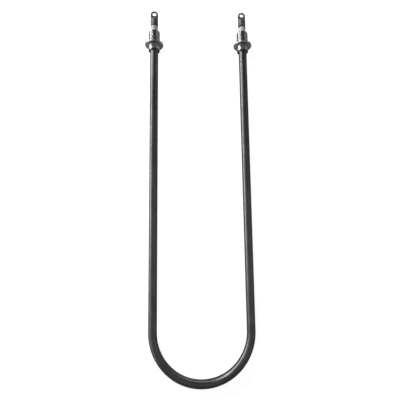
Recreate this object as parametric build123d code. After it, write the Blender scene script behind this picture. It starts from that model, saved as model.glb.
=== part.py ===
from build123d import *
import math
import os

# U-shaped tubular heating element with a threaded nipple on each leg.
# Millimetres. The legs run along Y, side by side in X, and the loop lies level with Z up.
# The origin is halfway between the two legs, on the plane of the flanges' seating faces:
# the threads and terminals stand out towards +Y and the heated loop hangs towards -Y.

# Sheath: one tube, bent once, with both legs parallel.
sheath_od = 8.5
sheath_wall = 0.6
leg_spacing = 96.0  # axis to axis
loop_depth = 350.0  # flange's inner face to the outside of the bend

# Nipple: thread, flange and skirt turned in one piece and brazed to the sheath.
thread_od = 12.0  # over the crests
thread_length = 14.0  # seating face to the outer end
thread_lead_in = 0.8
flange_od = 19.5
flange_thickness = 2.0
skirt_od = 12.0
skirt_length = 6.2
edge_break = 0.3
braze_gap = 0.05  # radial

# Heating core: terminal pins, the coil wound on their inner ends, and the powder round them.
pin_od = 3.0
coil_wire = 0.4
cold_length = 60.0  # seating face to the near end of the coil
coil_grip = 10.0  # length of coil wound on each pin

# End closure: a sealing plug under a ceramic bead.
seal_length = 6.0
spigot_length = 5.0  # bead's lower part, inside the sheath
spigot_gap = 0.1  # radial
bead_od = 8.0
bead_height = 6.2  # bead's collar, standing on the sheath's end
bead_break = 0.4
pin_gap = 0.1  # radial, pin to bead

# Contact lug: a round barrel on the pin, milled down to a flat eye.
lug_od = 8.0
lug_bore_depth = 6.0
eye_height = 14.7  # lug's foot to the centre of the eye's hole
eye_hole = 4.4
eye_thickness = 1.6
eye_tip = 3.5  # hole's centre to the tip
pad_reach = 3.2  # hole's centre to where the flat runs out towards the barrel
pad_radius = 6.0
ramp_angle = 38.0  # between the ramp and the flat
lug_gap = 0.1  # lug's foot to the bead
lug_break = 0.2

# Places that follow from these.
leg_x = leg_spacing / 2
sheath_id = sheath_od - 2 * sheath_wall
bend_centre_y = -(flange_thickness + loop_depth - sheath_od / 2 - leg_x)
sheath_end_y = thread_length
spigot_foot_y = sheath_end_y - spigot_length
filling_end_y = spigot_foot_y - seal_length
bead_top_y = sheath_end_y + bead_height
lug_foot_y = bead_top_y + lug_gap
coil_od = pin_od + 2 * coil_wire
coil_end_y = -cold_length
pin_inner_y = coil_end_y - coil_grip
pin_outer_y = lug_foot_y + lug_bore_depth


def bar(diameter, low_y, high_y):
    """Round bar on the Y axis."""
    upright = Cylinder(diameter / 2, high_y - low_y, align=(Align.CENTER, Align.CENTER, Align.MIN))
    return Pos(0, low_y, 0) * Rot(-90, 0, 0) * upright


def loop_bar(diameter, end_y):
    """Round bar that follows the sheath's centreline, with both ends at end_y."""
    leg = bar(diameter, bend_centre_y, end_y)
    half_ring = Torus(leg_x, diameter / 2, major_angle=180, align=None)
    bend = Pos(0, bend_centre_y, 0) * Rot(0, 0, 180) * half_ring
    return Pos(-leg_x, 0, 0) * leg + bend + Pos(leg_x, 0, 0) * leg


def turned(*outline):
    """Piece turned about the Y axis from (radius, y) points."""
    section = make_face(Polyline(*outline, close=True))
    return revolve(section, Axis.Y)


def sheath_tube():
    return loop_bar(sheath_od, sheath_end_y) - loop_bar(sheath_id, sheath_end_y)


def resistance_coil():
    """Outer shape of the wound wire: a sleeve of one wire's thickness on the pins' diameter."""
    return loop_bar(coil_od, coil_end_y) - loop_bar(pin_od, coil_end_y)


def magnesia_filling():
    """Pressed powder: a jacket round the coil and pins, and a core inside the coil."""
    jacket = loop_bar(sheath_id, filling_end_y) - loop_bar(coil_od, coil_end_y)
    for x in (-leg_x, leg_x):
        jacket -= Pos(x, 0, 0) * bar(pin_od, pin_inner_y, filling_end_y)
    return jacket + loop_bar(pin_od, pin_inner_y)


def terminal_pin():
    return bar(pin_od, pin_inner_y, pin_outer_y)


def threaded_nipple():
    bore_r = sheath_od / 2 + braze_gap
    thread_r, flange_r, skirt_r = thread_od / 2, flange_od / 2, skirt_od / 2
    inner_face_y = -flange_thickness
    foot_y = inner_face_y - skirt_length
    return turned(
        (bore_r, foot_y),
        (skirt_r - edge_break, foot_y),
        (skirt_r, foot_y + edge_break),
        (skirt_r, inner_face_y),
        (flange_r - edge_break, inner_face_y),
        (flange_r, inner_face_y + edge_break),
        (flange_r, -edge_break),
        (flange_r - edge_break, 0),
        (thread_r, 0),
        (thread_r, thread_length - thread_lead_in),
        (thread_r - thread_lead_in, thread_length),
        (bore_r, thread_length),
    )


def end_seal():
    return bar(sheath_id, filling_end_y, spigot_foot_y) - bar(pin_od, filling_end_y, spigot_foot_y)


def ceramic_bead():
    bore_r = pin_od / 2 + pin_gap
    spigot_r = sheath_id / 2 - spigot_gap
    bead_r = bead_od / 2
    return turned(
        (bore_r, spigot_foot_y),
        (spigot_r, spigot_foot_y),
        (spigot_r, sheath_end_y),
        (bead_r, sheath_end_y),
        (bead_r, bead_top_y - bead_break),
        (bead_r - bead_break, bead_top_y),
        (bore_r, bead_top_y),
    )


def contact_lug():
    """Round bar with a rounded end, milled on both sides to a flat eye, and bored for the pin."""
    lug_r = lug_od / 2
    eye_y = lug_foot_y + eye_height
    end_centre_y = eye_y + eye_tip - lug_r
    blank = bar(lug_od, lug_foot_y, eye_y + eye_tip)
    rounded_end = Pos(0, end_centre_y, 0) * Cylinder(lug_r, lug_od)
    shank = Pos(0, (lug_foot_y + end_centre_y) / 2, 0) * Box(lug_od, end_centre_y - lug_foot_y, lug_od)
    lug = blank & (rounded_end + shank)

    flat_z = eye_thickness / 2
    depth = lug_r - flat_z
    ramp_run = depth / math.tan(math.radians(ramp_angle))
    cutter = Cone(pad_radius, pad_radius + ramp_run, depth, align=(Align.CENTER, Align.CENTER, Align.MIN))
    for side in (0, 180):
        lug -= Rot(0, side, 0) * Pos(0, eye_y - pad_reach + pad_radius, flat_z) * cutter
    lug -= Pos(0, eye_y, 0) * Cylinder(eye_hole / 2, lug_od)

    sharp_edges = lug.faces().sort_by(Axis.Y)[0].edges()
    for flat in lug.faces().filter_by(Axis.Z):
        ramp_foot, *outer_edges = flat.edges().sort_by(Axis.Y)
        sharp_edges += outer_edges
    lug = fillet(sharp_edges, lug_break)
    return lug - bar(pin_od, lug_foot_y, pin_outer_y)


pieces = {
    "sheath_tube": sheath_tube(),
    "magnesia_filling": magnesia_filling(),
    "resistance_coil": resistance_coil(),
}
for side, x in (("left", -leg_x), ("right", leg_x)):
    leg = Pos(x, 0, 0)
    pieces[side + "_threaded_nipple"] = leg * threaded_nipple()
    pieces[side + "_terminal_pin"] = leg * terminal_pin()
    pieces[side + "_end_seal"] = leg * end_seal()
    pieces[side + "_ceramic_bead"] = leg * ceramic_bead()
    pieces[side + "_contact_lug"] = leg * contact_lug()

os.makedirs("parts", exist_ok=True)
for name, piece in pieces.items():
    export_step(piece, "parts/" + name + ".step")
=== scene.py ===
import math

import bmesh
import bpy
from mathutils import Matrix, Vector


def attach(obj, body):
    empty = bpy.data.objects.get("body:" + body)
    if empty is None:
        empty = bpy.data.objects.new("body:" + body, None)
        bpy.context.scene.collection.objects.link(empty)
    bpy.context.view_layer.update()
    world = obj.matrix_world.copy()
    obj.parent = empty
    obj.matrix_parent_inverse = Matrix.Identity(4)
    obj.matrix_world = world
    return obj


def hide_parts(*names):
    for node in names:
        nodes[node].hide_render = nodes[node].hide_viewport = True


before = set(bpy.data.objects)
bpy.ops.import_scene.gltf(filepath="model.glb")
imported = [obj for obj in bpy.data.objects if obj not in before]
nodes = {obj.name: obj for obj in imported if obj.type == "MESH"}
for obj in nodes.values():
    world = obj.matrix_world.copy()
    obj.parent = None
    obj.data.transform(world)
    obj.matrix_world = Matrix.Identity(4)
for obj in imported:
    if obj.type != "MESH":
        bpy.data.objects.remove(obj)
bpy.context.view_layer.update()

mm = 0.001
legX = 48.0  # millimetres from the middle to each tube's axis
bendY = -299.75  # where the legs end and the bend starts
sideOf = {"left": -1, "right": 1}
print("solids loaded:", len(nodes))


class Sock:
    # an output socket; arithmetic on it adds Math nodes
    def __init__(self, web, out):
        self.web, self.out = web, out

    def math(self, kind, *others):
        return self.web.maths(kind, self, *others)

    def __add__(self, other): return self.math("ADD", other)
    def __sub__(self, other): return self.math("SUBTRACT", other)
    def __mul__(self, other): return self.math("MULTIPLY", other)
    def __truediv__(self, other): return self.math("DIVIDE", other)
    def __rsub__(self, other): return self.web.maths("SUBTRACT", other, self)
    def __rtruediv__(self, other): return self.web.maths("DIVIDE", other, self)
    def __neg__(self): return self.math("MULTIPLY", -1.0)
    def __abs__(self): return self.math("ABSOLUTE")
    __radd__, __rmul__ = __add__, __mul__

    def least(self, other): return self.math("MINIMUM", other)
    def most(self, other): return self.math("MAXIMUM", other)
    def root(self): return self.math("SQRT")
    def sign(self): return self.math("SIGN")
    def turn(self, other): return self.math("ARCTAN2", other)

    def ease(self, low, high, start=0.0, end=1.0):
        limits = {"Value": self, "From Min": low, "From Max": high, "To Min": start, "To Max": end}
        return self.web.add("ShaderNodeMapRange", {"interpolation_type": "SMOOTHSTEP"}, limits)


class Web:
    # the node tree of a material or world, emptied first
    def __init__(self, owner):
        owner.use_nodes = True
        self.tree = owner.node_tree
        self.tree.nodes.clear()

    def add(self, kind, settings=None, inputs=None, out=0):
        made = self.tree.nodes.new(kind)
        for name, value in (settings or {}).items():
            setattr(made, name, value)
        for name, value in (inputs or {}).items():
            if isinstance(value, Sock):
                self.tree.links.new(value.out, made.inputs[name])
            else:
                made.inputs[name].default_value = value
        return Sock(self, made.outputs[out]) if len(made.outputs) else made

    def maths(self, kind, *values):
        return self.add("ShaderNodeMath", {"operation": kind}, dict(enumerate(values)))

    def place(self):  # x, y and z on the piece, in millimetres
        whole = self.add("ShaderNodeTexCoord", out="Object")
        return [self.add("ShaderNodeSeparateXYZ", None, {0: whole}, out=axis) / mm for axis in "XYZ"]

    def vector(self, x, y, z):
        return self.add("ShaderNodeCombineXYZ", None, {"X": x, "Y": y, "Z": z})

    def noise(self, where, scale, detail=3.0, rough=0.5):
        wanted = {"Vector": where, "Scale": scale, "Detail": detail, "Roughness": rough}
        return self.add("ShaderNodeTexNoise", None, wanted)

    def blend(self, share, first, second):
        return self.add("ShaderNodeMix", {"data_type": "RGBA"}, {0: share, 6: first, 7: second}, out=2)

    def bump(self, height, strength, depth, under=None):
        joined = {"Height": height, "Strength": strength, "Distance": depth * mm}
        if under is not None:
            joined["Normal"] = under
        return self.add("ShaderNodeBump", None, joined)


def grey(value, warm=0.0):
    return (value * (1 + warm), value, value * (1 - warm), 1.0)


broad = (0.3, 0.7)  # noise values over which a cloud turns from one shade to the next


def makeMaterial(name, build, **plain):
    material = bpy.data.materials.new(name)
    web = Web(material)
    varying = build(web)
    shader = web.add("ShaderNodeBsdfPrincipled", None, {**plain, **varying})
    web.add("ShaderNodeOutputMaterial", None, {"Surface": shader})
    return material


oxide = {
    "dark": 0.10, "light": 0.16, "scuffed": 0.26, "edge": 0.3,
    "rough": 0.32, "roughSpread": 0.09, "rubbedGloss": 0.03,
    "cloudSize": 9.0, "cloudDraw": 0.6, "lineSize": 0.35, "lineStretch": 60.0, "speckScale": 2.2,
    "cloudShare": 0.55, "lineShare": 0.35, "filmShare": 0.10, "rubbedShare": 0.5,
    "film": (-40.0, -9.0), "speckRange": (0.66, 0.74), "rubbedRange": (0.5, 0.62),
    "lineBump": 0.15, "speckBump": 0.08, "bumpDepth": 0.03,
}


def buildOxide(web):
    d = oxide
    x, y, z = web.place()
    past = (y - bendY).least(0.0)  # millimetres past the bend's start, else 0
    out = (x * x + past * past).root()
    arc = (-past).turn(abs(x)) * legX
    # way along the tube from the bend's foot
    run = ((y - bendY).most(0.0) - arc + legX * math.pi / 2) * x.sign()
    drawn = web.vector((out - legX) / d["lineSize"], z / d["lineSize"], run / d["lineStretch"])
    lines = web.noise(drawn, 1.0, 4.0, 0.6)
    clouds = web.noise(web.vector(out - legX, z, run * d["cloudDraw"]), 1 / d["cloudSize"], 4.0, 0.6)
    specks = web.noise(web.vector(x, y, z), d["speckScale"], 2.0, 0.5)
    film = y.ease(*d["film"])  # brighter film where the brazing flame reached
    tone = (clouds.ease(*broad) * d["cloudShare"] + lines.ease(*broad) * d["lineShare"]
            + film * d["filmShare"])
    colour = web.blend(tone, grey(d["dark"], 0.01), grey(d["light"], 0.02))
    rubbed = specks.ease(*d["speckRange"]) * clouds.ease(*d["rubbedRange"])
    colour = web.blend(rubbed * d["rubbedShare"], colour, grey(d["scuffed"], 0.02))
    spread = d["roughSpread"]
    rough = lines * spread + clouds * spread + (d["rough"] - spread)
    normal = web.bump(lines, d["lineBump"], d["bumpDepth"])
    normal = web.bump(specks, d["speckBump"], d["bumpDepth"], normal)
    return {"Base Color": colour, "Roughness": rough - rubbed * d["rubbedGloss"], "Normal": normal}


plating = {
    "dark": 0.24, "light": 0.34, "worn": 0.52, "bright": 0.58, "rootDark": 0.04, "footDarkTone": 0.035,
    "rough": 0.20, "lineSize": 0.09, "lineBump": 0.25, "bumpDepth": 0.02,
    "cloudScale": 0.35, "cloudShare": 0.6, "lineShare": 0.4, "footDarkWander": 1.2,
    "threadRoot": (5.75, 5.4), "threadCrest": (5.93, 5.98), "threadStart": (0.2, 0.8),
    "rimPolish": (9.0, 9.4), "polishRange": (0.35, 0.65), "polishShare": 0.4, "rimDull": (9.2, 9.6),
    "skirtTop": (-2.0, -2.5), "skirtShare": 0.9, "rootDarkShare": 0.55,
    "footDarkTop": (-6.6, -7.5), "footDarkShare": 0.85,
    "lineRough": 0.08, "cloudRough": 0.10, "rootRough": 0.25, "dullRough": 0.12, "skirtRough": 0.04,
}


def buildPlating(web):
    d = plating
    x, y, z = web.place()
    side = abs(x) - legX
    out = (side * side + z * z).root()  # from the nipple's own axis
    lines = web.noise(web.vector(out / d["lineSize"], y / d["lineSize"], 0.0), 1.0, 3.0, 0.6)
    clouds = web.noise(web.vector(x, y, z), d["cloudScale"], 4.0, 0.6)
    inThread = y.ease(*d["threadStart"])
    root = out.ease(*d["threadRoot"]) * inThread
    polished = (out.ease(*d["rimPolish"]) * clouds.ease(*d["polishRange"]) * d["polishShare"]
                + out.ease(*d["threadCrest"]) * inThread)
    dulled = out.ease(*d["rimDull"])  # the handled rim has lost its shine
    skirt = y.ease(*d["skirtTop"])  # never touched by nut or panel, so its plating is still bright
    tone = clouds.ease(*broad) * d["cloudShare"] + lines * d["lineShare"]
    colour = web.blend(tone, grey(d["dark"]), grey(d["light"], 0.01))
    colour = web.blend(polished.least(1.0), colour, grey(d["worn"], 0.01))
    colour = web.blend(skirt * d["skirtShare"], colour, grey(d["bright"]))
    # darker in the thread roots
    colour = web.blend(root * d["rootDarkShare"], colour, grey(d["rootDark"], 0.04))
    # the skirt darkens towards its brazed foot, and the braze fillet with it
    footDark = (y + clouds * d["footDarkWander"]).ease(*d["footDarkTop"])
    colour = web.blend(footDark * d["footDarkShare"], colour, grey(d["footDarkTone"], 0.03))
    rough = (lines * d["lineRough"] + clouds * d["cloudRough"] + root * d["rootRough"]
             + dulled * d["dullRough"] + skirt * d["skirtRough"] + (d["rough"] - d["lineRough"]))
    return {"Base Color": colour, "Roughness": rough,
            "Normal": web.bump(lines, d["lineBump"], d["bumpDepth"])}


# the 0.03 grey in this table is painted shade, used at the barrel's foot, in the milled corner and in the
# punch mark
tin = {
    "dark": 0.13, "light": 0.19, "worn": 0.28, "paintedShade": 0.03, "rough": 0.46,
    "scratchSize": 0.12, "scratchLength": 6.0, "scratchRange": (0.62, 0.72), "scratchShare": 0.4,
    "cloudScale": 0.5, "cloudTone": 0.6, "scratchTone": 0.4, "dentScale": 1.1,
    "scratchRough": 0.1, "cloudRough": 0.12, "scratchBump": (0.2, 0.02), "dentBump": (0.25, 0.08),
    "barrel": 4.0, "footShadeTop": (23.4, 21.6), "footShadeWander": 2.0, "footShadeLean": 1.6, "footShadeShare": 0.8,
    "milledFoot": (29.6, 31.2), "milledTop": (33.6, 32.6), "cornerShadeShare": 0.7,
}
punch = {  # mark pressed into each lug's barrel to grip the pin; across is from the lug's own axis
    "y": 25.0, "halfLength": 2.1, "halfWidth": 0.85, "depth": 0.45, "above": 1.6,
    "across": {"left": 2.3, "right": 0.3}, "cutsAlong": 7, "cutsAcross": 5, "reach": 3, "upward": 0.3,
    "shade": (1.1, 0.3), "shadeAbove": (0.5, 1.0), "shadeShare": 0.75, "sharp": 20.0,
}


def buildTin(web):
    d = tin
    x, y, z = web.place()
    clouds = web.noise(web.vector(x, y, z), d["cloudScale"], 4.0, 0.6)
    size = d["scratchSize"]
    scratches = web.noise(web.vector(x / size, y / d["scratchLength"], z / size), 1.0, 3.0, 0.6)
    dents = web.noise(web.vector(x, y, z), d["dentScale"], 2.0, 0.5)
    tone = clouds.ease(*broad) * d["cloudTone"] + scratches * d["scratchTone"]
    colour = web.blend(tone, grey(d["dark"], 0.01), grey(d["light"], 0.01))
    worn = scratches.ease(*d["scratchRange"])
    colour = web.blend(worn * d["scratchShare"], colour, grey(d["worn"]))
    inward = (legX - abs(x)) / d["barrel"]  # 1 on the side that faces the other lug
    # painted shade where the barrel meets the bead, stronger on the side that faces the other lug
    paintedShade = (y + clouds * d["footShadeWander"] - inward * d["footShadeLean"]).ease(*d["footShadeTop"])
    colour = web.blend(paintedShade * d["footShadeShare"], colour, grey(d["paintedShade"], 0.03))
    # painted shade in the corner of the milled flat
    cornerShade = y.ease(*d["milledFoot"]) * y.ease(*d["milledTop"])
    colour = web.blend(cornerShade * d["cornerShadeShare"], colour, grey(d["paintedShade"], 0.02))
    # painted shade inside the mark pressed into the barrel
    left, right = [sideOf[side] * legX + punch["across"][side] for side in sideOf]
    across = (x - (left + right) / 2 - x.sign() * (right - left) / 2) / punch["halfWidth"]
    along = (y - punch["y"]) / punch["halfLength"]
    dentShade = (across * across + along * along).ease(*punch["shade"]) * z.ease(*punch["shadeAbove"])
    colour = web.blend(dentShade * punch["shadeShare"], colour, grey(d["paintedShade"], 0.02))
    rough = scratches * d["scratchRough"] + clouds * d["cloudRough"] + (d["rough"] - d["scratchRough"])
    normal = web.bump(scratches, *d["scratchBump"])
    normal = web.bump(dents, *d["dentBump"], normal)
    return {"Base Color": colour, "Roughness": rough, "Normal": normal}


ceramic = {
    "white": 0.76, "shade": 0.66, "speck": 0.40, "rough": 0.34,
    "cloudScale": 0.4, "cloudRange": (0.35, 0.75), "grainScale": 6.0, "grainRough": 0.12,
    "speckRange": (0.70, 0.76), "speckShare": 0.5, "bump": (0.2, 0.03),
}


def buildCeramic(web):
    d = ceramic
    x, y, z = web.place()
    clouds = web.noise(web.vector(x, y, z), d["cloudScale"], 3.0, 0.5)
    grain = web.noise(web.vector(x, y, z), d["grainScale"], 2.0, 0.6)
    shaded = clouds.ease(*d["cloudRange"])
    colour = web.blend(shaded, grey(d["white"], 0.004), grey(d["shade"], 0.01))
    specks = grain.ease(*d["speckRange"]) * d["speckShare"]
    colour = web.blend(specks, colour, grey(d["speck"], 0.03))
    rough = grain * d["grainRough"] + (d["rough"] - d["grainRough"] / 2)
    return {"Base Color": colour, "Roughness": rough, "Normal": web.bump(grain, *d["bump"])}


hidden = {  # pieces that only a cut would show: two shades, cloud size in millimetres, roughness
    "pinSteel": {"dark": 0.42, "light": 0.55, "size": 2.0, "rough": 0.3},
    "wireAlloy": {"dark": 0.28, "light": 0.38, "size": 1.0, "rough": 0.4, "warm": 0.02},
    "magnesia": {"dark": 0.78, "light": 0.88, "size": 1.5, "rough": 0.85, "warm": 0.01},
}


def buildPlain(dark, light, size, rough, warm=0.0):
    def build(web):
        x, y, z = web.place()
        clouds = web.noise(web.vector(x, y, z), 1 / size, 4.0, 0.6)
        grain = web.noise(web.vector(x, y, z), 8 / size, 2.0, 0.6)
        colour = web.blend(clouds.ease(*broad), grey(dark, warm), grey(light, warm))
        return {"Base Color": colour, "Roughness": grain * 0.2 + (rough - 0.1),
                "Normal": web.bump(grain, 0.3, 0.03)}
    return build


silicone = {
    "dark": (0.30, 0.05, 0.03, 1.0), "light": (0.42, 0.09, 0.05, 1.0),
    "cloudScale": 0.8, "rough": 0.45, "cloudRough": 0.2, "bump": (0.3, 0.05),
}


def buildSeal(web):
    d = silicone
    x, y, z = web.place()
    clouds = web.noise(web.vector(x, y, z), d["cloudScale"], 3.0, 0.5)
    colour = web.blend(clouds, d["dark"], d["light"])
    rough = clouds * d["cloudRough"] + d["rough"]
    return {"Base Color": colour, "Roughness": rough, "Normal": web.bump(clouds, *d["bump"])}


metal = {"Metallic": 1.0, "Specular Tint": grey(0.1)}
scaled = {"Metallic": 1.0, "Specular Tint": grey(oxide["edge"])}  # oxide keeps its edges light
dull = {"Metallic": 0.3, "Specular IOR Level": 0.3, "Specular Tint": grey(0.1)}
oxidisedSheath = makeMaterial("oxidisedSheath", buildOxide, **scaled)
platedNipple = makeMaterial("platedNipple", buildPlating, **metal)
tinnedLug = makeMaterial("tinnedLug", buildTin, **dull)
whiteCeramic = makeMaterial("whiteCeramic", buildCeramic)
pinSteel = makeMaterial("pinSteel", buildPlain(**hidden["pinSteel"]), **metal)
wireAlloy = makeMaterial("wireAlloy", buildPlain(**hidden["wireAlloy"]), **metal)
magnesia = makeMaterial("magnesia", buildPlain(**hidden["magnesia"]))
endSilicone = makeMaterial("endSilicone", buildSeal)
print("materials made:", len(bpy.data.materials))


def finishMesh(mesh, name, material, slot, *stoodFor, sharp=32.0):
    # smooth faces, sharp edges over the given angle, then a piece on the root body
    bmesh.ops.recalc_face_normals(mesh, faces=mesh.faces)
    for face in mesh.faces:
        face.smooth = True
    for edge in mesh.edges:
        edge.smooth = edge.calc_face_angle(0.0) < math.radians(sharp)
    bmesh.ops.scale(mesh, vec=(mm, mm, mm), verts=mesh.verts)
    data = bpy.data.meshes.new(name)
    mesh.to_mesh(data)
    mesh.free()
    data.materials.append(material)
    piece = bpy.data.objects.new(name, data)
    bpy.context.scene.collection.objects.link(piece)
    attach(piece, "root")
    if stoodFor:
        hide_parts(*stoodFor)
    return piece


near = 1e-3  # millimetres; points closer than this are one
onPlane = 1e-4  # millimetres; points closer than this to a cut lie on it


def rimAt(mesh, y):
    # open edges lying on the plane at y
    return [e for e in mesh.edges if e.is_boundary and all(abs(v.co.y - y) < near for v in e.verts)]


def growRing(mesh, rim, radius, y):
    # carries an open ring on to a new radius and place
    grown = bmesh.ops.extrude_edge_only(mesh, edges=rim)["geom"]
    for v in grown:
        if isinstance(v, bmesh.types.BMVert):
            away = math.hypot(v.co.x, v.co.z)
            v.co = Vector((v.co.x * radius / away, y, v.co.z * radius / away))
    return [e for e in grown if isinstance(e, bmesh.types.BMEdge) and e.is_boundary]


def quarter(radius, y, size, first, last, parts=4):
    # points of a rounded corner, its centre at radius and y, from the first angle to the last
    turns = [math.radians(first + (last - first) * part / parts) for part in range(parts + 1)]
    return [(radius + size * math.cos(turn), y + size * math.sin(turn)) for turn in turns]


nipple = {
    "crest": 6.0, "pitch": 1.25, "depth": 0.5413, "rounding": 0.04, "end": 14.0, "lead": 0.8,
    "relief": 1.1, "reliefRadius": 5.25, "seatCorner": 0.3,
    "flange": 9.75, "flangeBack": -2.0, "rim": 0.65, "edge": 0.3, "corner": 0.5,
    "skirt": 6.0, "foot": -8.2, "bore": 4.3, "steps": 96,
}


def threadedNipple(side):
    d = nipple
    pitch, crest = d["pitch"], d["crest"]
    root = crest - d["depth"] * pitch
    flank, shoulder = (root + crest) / 2, crest - d["rounding"]
    mesh = bmesh.new()
    # one thread's outline, as shares of the pitch and radii
    tooth = ((0.0, root), (0.14, root), (0.27, flank), (0.39, shoulder),
             (0.44, crest), (0.78, crest), (0.83, shoulder), (0.91, flank))
    last = None
    chain = []
    turns = round(d["end"] / pitch) + 4  # two spare turns at each end, cut off below
    for turn in range(turns):
        for share, radius in tooth:
            point = mesh.verts.new((radius, (turn - 2 + share) * pitch, 0.0))
            if last:
                chain.append(mesh.edges.new((last, point)))
            last = point
    bmesh.ops.spin(mesh, geom=list(mesh.verts) + chain, cent=(0, 0, 0), axis=(0, 1, 0),
                   dvec=(0, pitch / d["steps"], 0), angle=math.tau, steps=d["steps"], use_merge=False)
    bmesh.ops.remove_doubles(mesh, verts=mesh.verts, dist=near)
    for height, cut in ((d["relief"], {"clear_inner": True}), (d["end"], {"clear_outer": True})):
        whole = list(mesh.verts) + list(mesh.edges) + list(mesh.faces)
        bmesh.ops.bisect_plane(mesh, geom=whole, dist=onPlane, plane_co=(0, height, 0),
                               plane_no=(0, 1, 0), **cut)
    for v in mesh.verts:  # turned chamfers at both ends cut the crests away
        away = math.hypot(v.co.x, v.co.z)
        limit = min(crest - d["lead"] + d["end"] - v.co.y, d["reliefRadius"] + v.co.y - d["relief"])
        if away > limit:
            v.co.x, v.co.z = v.co.x * limit / away, v.co.z * limit / away
    outer = rimAt(mesh, d["end"])
    rim = rimAt(mesh, d["relief"])
    edge, corner, curve, seat = d["edge"], d["corner"], d["rim"], d["seatCorner"]
    profile = quarter(d["reliefRadius"] + seat, seat, seat, 180, 270)
    profile += quarter(d["flange"] - curve, -curve, curve, 90, 0)
    profile += quarter(d["flange"] - curve, d["flangeBack"] + curve, curve, 0, -90)
    profile += quarter(d["skirt"] + corner, d["flangeBack"] - corner, corner, 90, 180)
    profile += quarter(d["skirt"] - edge, d["foot"] + edge, edge, 0, -90)
    for radius, y in profile + [(d["bore"], d["foot"])]:
        rim = growRing(mesh, rim, radius, y)
    outer = growRing(mesh, outer, d["bore"], d["end"])
    bmesh.ops.bridge_loops(mesh, edges=rim + outer)  # the wall of the bore
    bmesh.ops.remove_doubles(mesh, verts=mesh.verts, dist=near)
    bmesh.ops.translate(mesh, vec=(sideOf[side] * legX, 0, 0), verts=mesh.verts)
    return finishMesh(mesh, side + "_nipple_turned", platedNipple, "plated_steel",
                      side + "_threaded_nipple")


for side in sideOf:
    piece = threadedNipple(side)
    print(piece.name, "faces", len(piece.data.polygons))


def turnedPiece(side, name, profile, steps, material, slot, *stoodFor):
    # a closed (radius, y) outline spun round the leg's axis
    mesh = bmesh.new()
    ring = [mesh.verts.new((radius, y, 0.0)) for radius, y in profile]
    edges = [mesh.edges.new((ring[i - 1], ring[i])) for i in range(len(ring))]
    bmesh.ops.spin(mesh, geom=ring + edges, cent=(0, 0, 0), axis=(0, 1, 0), dvec=(0, 0, 0),
                   angle=math.tau, steps=steps, use_merge=True)
    bmesh.ops.remove_doubles(mesh, verts=mesh.verts, dist=near)
    bmesh.ops.translate(mesh, vec=(sideOf[side] * legX, 0, 0), verts=mesh.verts)
    return finishMesh(mesh, side + name, material, slot, *stoodFor)


bead = {
    "bore": 1.6, "spigot": 3.55, "foot": 9.0, "seat": 14.0, "collar": 4.0, "top": 20.2,
    "seatEdge": 0.3, "topEdge": 0.7, "mouth": 0.35, "steps": 72,
    "waist": 0.08, "waistWidth": 1.6, "waistDrop": 0.3,
    "waistCurve": ((-0.5, 0.0), (-0.25, 0.7), (0.0, 1.0), (0.25, 0.7), (0.5, 0.0)),
}


def ceramicBead(side):
    d = bead
    middle = (d["seat"] + d["top"]) / 2 - d["waistDrop"]
    profile = [(d["bore"], d["foot"]), (d["spigot"], d["foot"]), (d["spigot"], d["seat"])]
    profile += quarter(d["collar"] - d["seatEdge"], d["seat"] + d["seatEdge"], d["seatEdge"], -90, 0)
    profile += [(d["collar"] - d["waist"] * dip, middle + d["waistWidth"] * at)
                for at, dip in d["waistCurve"]]
    profile += quarter(d["collar"] - d["topEdge"], d["top"] - d["topEdge"], d["topEdge"], 0, 90)
    profile += quarter(d["bore"] + d["mouth"], d["top"] - d["mouth"], d["mouth"], 90, 180)
    return turnedPiece(side, "_bead_glazed", profile, d["steps"], whiteCeramic, "white_ceramic",
                       side + "_ceramic_bead")


braze = {"size": 1.1, "sheath": 4.2, "foot": -8.2, "bite": 0.05, "parts": 6, "steps": 72}


def brazeFillet(side):
    d = braze
    outer, low = d["sheath"] + d["bite"] + d["size"], d["foot"] - d["size"]
    profile = quarter(outer, low, d["size"], 180, 90, d["parts"])
    profile += [(outer, d["foot"] + d["bite"]), (d["sheath"], d["foot"] + d["bite"]), (d["sheath"], low)]
    return turnedPiece(side, "_braze_fillet", profile, d["steps"], platedNipple, "plated_steel")


def punchedLug(side):
    # a merged copy of the solid lug, its barrel cut into a fine grid at the mark and pressed in there
    d = punch
    mesh = bmesh.new()
    mesh.from_mesh(nodes[side + "_contact_lug"].data)
    bmesh.ops.scale(mesh, vec=(1 / mm, 1 / mm, 1 / mm), verts=mesh.verts)
    bmesh.ops.remove_doubles(mesh, verts=mesh.verts, dist=near)
    middle = Vector((sideOf[side] * legX + d["across"][side], d["y"], 0.0))
    along, across = Vector((0, 1, 0)), Vector((1, 0, 0))
    for axis, half, parts, reach in (
            (along, d["halfLength"], d["cutsAlong"], d["halfLength"] * d["reach"]),
            (across, d["halfWidth"], d["cutsAcross"], d["halfLength"])):
        for part in range(-parts, parts + 1):
            mesh.normal_update()
            upper = [f for f in mesh.faces
                     if f.normal.z > d["upward"] and f.calc_center_median().z > d["above"]
                     and abs(f.calc_center_median().y - middle.y) < reach]
            around = dict.fromkeys(item for f in upper for item in (*f.verts, *f.edges, f))
            bmesh.ops.bisect_plane(mesh, geom=list(around), dist=onPlane, plane_no=axis,
                                   plane_co=middle + axis * half * part / parts)
    for v in mesh.verts:
        sideways = (v.co.x - middle.x) / d["halfWidth"]
        lengthways = (v.co.y - middle.y) / d["halfLength"]
        inside = 1 - sideways ** 2 - lengthways ** 2
        if inside > 0 and v.co.z > d["above"]:
            v.co.z -= d["depth"] * inside
    return finishMesh(mesh, side + "_lug_punched", tinnedLug, "plated_steel",
                      side + "_contact_lug", sharp=d["sharp"])


for side in sideOf:
    for piece in (ceramicBead(side), brazeFillet(side), punchedLug(side)):
        print(piece.name, "faces", len(piece.data.polygons))

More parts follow.
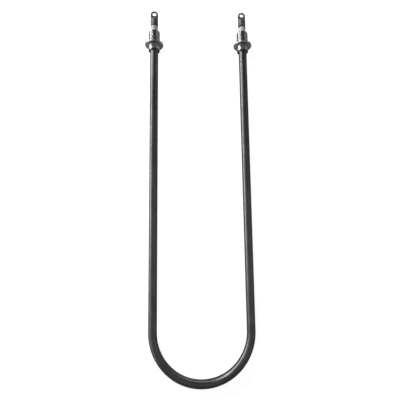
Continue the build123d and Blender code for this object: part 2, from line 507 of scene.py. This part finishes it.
coats = {
    "sheath_tube": oxidisedSheath, "magnesia_filling": magnesia, "resistance_coil": wireAlloy,
    "terminal_pin": pinSteel, "end_seal": endSilicone, "ceramic_bead": whiteCeramic,
    "contact_lug": tinnedLug, "threaded_nipple": platedNipple,
}
for name, node in nodes.items():
    kind = name.split("_", 1)[1] if name.split("_")[0] in sideOf else name
    node.data.materials.clear()
    node.data.materials.append(coats[kind])
print("solids finished")


def place(obj):
    bpy.context.scene.collection.objects.link(obj)
    return obj


def aim(where, target):
    # a matrix at where, facing the target with -Z
    away = Vector(where) - Vector(target)
    return Matrix.Translation(Vector(where)) @ away.to_track_quat("Z", "Y").to_matrix().to_4x4()


def panel(name, material, width, depth, matrix):
    mesh = bmesh.new()
    bmesh.ops.create_grid(mesh, x_segments=1, y_segments=1, size=0.5)
    bmesh.ops.scale(mesh, vec=(width, depth, 1.0), verts=mesh.verts)
    data = bpy.data.meshes.new(name)
    mesh.to_mesh(data)
    mesh.free()
    data.materials.append(material)
    made = place(bpy.data.objects.new(name, data))
    made.matrix_world = matrix
    return made


def seenDirectly(web, mirrored=1.0):
    # 1 for what the camera sees, mirrored for what it sees in metal or through glass
    ray = {name: web.add("ShaderNodeLightPath", out=name)
           for name in ("Is Camera Ray", "Is Glossy Ray", "Is Transmission Ray")}
    bounced = ray["Is Glossy Ray"] + ray["Is Transmission Ray"]
    return (ray["Is Camera Ray"] + bounced * mirrored).least(1.0)


floorLook = {
    "white": 0.90, "fleck": 0.985, "fleckScale": 0.05, "ownLight": 0.79, "mirrored": 0.15,
    "fade": (450.0, 1500.0), "drop": -9.77, "width": 6.0,
}


def makeFloor():
    d = floorLook
    material = bpy.data.materials.new("studioFloor")
    web = Web(material)
    x, y, z = web.place()
    fleck = web.noise(web.vector(x, y, z), d["fleckScale"], 2.0, 0.5)
    colour = web.blend(fleck, grey(d["white"]), grey(d["white"] * d["fleck"]))
    paper = web.add("ShaderNodeBsdfDiffuse", None, {"Color": colour})
    away = (x * x + y * y).root().ease(*d["fade"], d["ownLight"], 1.0)
    glow = web.add("ShaderNodeEmission", None, {
        "Color": grey(1.0), "Strength": seenDirectly(web, d["mirrored"]) * away})
    surface = web.add("ShaderNodeAddShader", None, {0: paper, 1: glow})
    web.add("ShaderNodeOutputMaterial", None, {"Surface": surface})
    return panel("studioFloorSheet", material, d["width"], d["width"],
                 Matrix.Translation((0, 0, d["drop"] * mm)))


makeFloor()

cards = {  # felt sheets seen only in reflections; sizes and places in metres
    "cardOverhead": {"shade": 0.32, "size": (3.4, 2.5), "at": (0.1, -0.68, 1.9), "faces": (0.1, -0.6801, 0)},
    "cardBehind": {"shade": 0.06, "size": (4.4, 3.3), "at": (0.1, 2.22, 1.9), "faces": (0.1, 2.2199, 0)},
    "cardFront": {"shade": 0.07, "size": (3.6, 1.2), "at": (0.2, -1.9, 1.3), "faces": (0.2, 0, 1.3)},
    "cardFrontLow": {"shade": 0.34, "size": (3.6, 0.7), "at": (0.2, -1.9, 0.35), "faces": (0.2, 0, 0.35)},
    "cardRight": {"shade": 0.30, "size": (2.75, 0.8), "at": (1.5, -0.425, 0.85), "faces": (0, -0.425, 0.85)},
    "cardCorner": {"shade": 0.85, "size": (0.9, 0.8), "at": (1.5, 1.4, 0.85), "faces": (0, 1.4, 0.85)},
    "cardLow": {"shade": 0.10, "size": (3.4, 0.44), "at": (1.5, -0.1, 0.21), "faces": (0, -0.1, 0.21)},
    "cardBack": {"shade": 1.8, "size": (2.2, 0.6), "at": (-0.1, 1.9, 0.30), "faces": (-0.1, 0, 0.3)},
}
for name, card in cards.items():
    material = bpy.data.materials.new(name + "Felt")
    web = Web(material)
    web.add("ShaderNodeOutputMaterial", None, {"Surface": web.add(
        "ShaderNodeEmission", None, {"Color": grey(card["shade"]), "Strength": 1.0})})
    sheet = panel(name, material, *card["size"], aim(card["at"], card["faces"]))
    sheet.visible_camera = False
    sheet.visible_shadow = False
    sheet.visible_diffuse = False

lampTarget = (0, -0.15, 0)
lamps = {
    "keyBox": {"at": (-0.80, 0.20, 0.16), "size": (1.2, 0.23), "power": 5.8, "glossy": True},
    "accentBox": {"at": (-1.62, 2.12, 1.80), "size": (0.56, 0.40), "power": 30.0, "glossy": True},
    "topBox": {"at": (0.0, -0.15, 1.3), "size": (1.6, 1.6), "power": 2.0, "glossy": False},
}
for name, lamp in lamps.items():
    light = bpy.data.lights.new(name, "AREA")
    light.shape = "RECTANGLE"
    light.size, light.size_y = lamp["size"]
    light.energy = lamp["power"]
    body = place(bpy.data.objects.new(name, light))
    body.matrix_world = aim(lamp["at"], lampTarget)
    body.visible_glossy = lamp["glossy"]

room = {"backdrop": 1.0, "fill": 0.10}
world = bpy.data.worlds.new("paleRoom")
bpy.context.scene.world = world
web = Web(world)
strength = seenDirectly(web) * (room["backdrop"] - room["fill"]) + room["fill"]
web.add("ShaderNodeOutputWorld", None, {"Surface": web.add(
    "ShaderNodeBackground", None, {"Color": grey(1.0), "Strength": strength})})
print("studio lit")

shot = {
    "at": (-14.89, -216.61, 341.88), "tilt": 7.67, "swing": -2.39, "roll": -0.39,
    "lens": 30.402, "sensor": 36.0, "clip": (0.01, 50.0),
}
lens = bpy.data.cameras.new("shotCamera")
lens.lens, lens.sensor_width = shot["lens"], shot["sensor"]
lens.clip_start, lens.clip_end = shot["clip"]
camera = place(bpy.data.objects.new("shotCamera", lens))
camera.matrix_world = (Matrix.Translation(Vector(shot["at"]) * mm)
                       @ Matrix.Rotation(math.radians(shot["tilt"]), 4, "X")
                       @ Matrix.Rotation(math.radians(shot["swing"]), 4, "Y")
                       @ Matrix.Rotation(math.radians(shot["roll"]), 4, "Z"))
bpy.context.scene.camera = camera
bpy.context.scene.view_settings.view_transform = "Standard"
print("camera set")
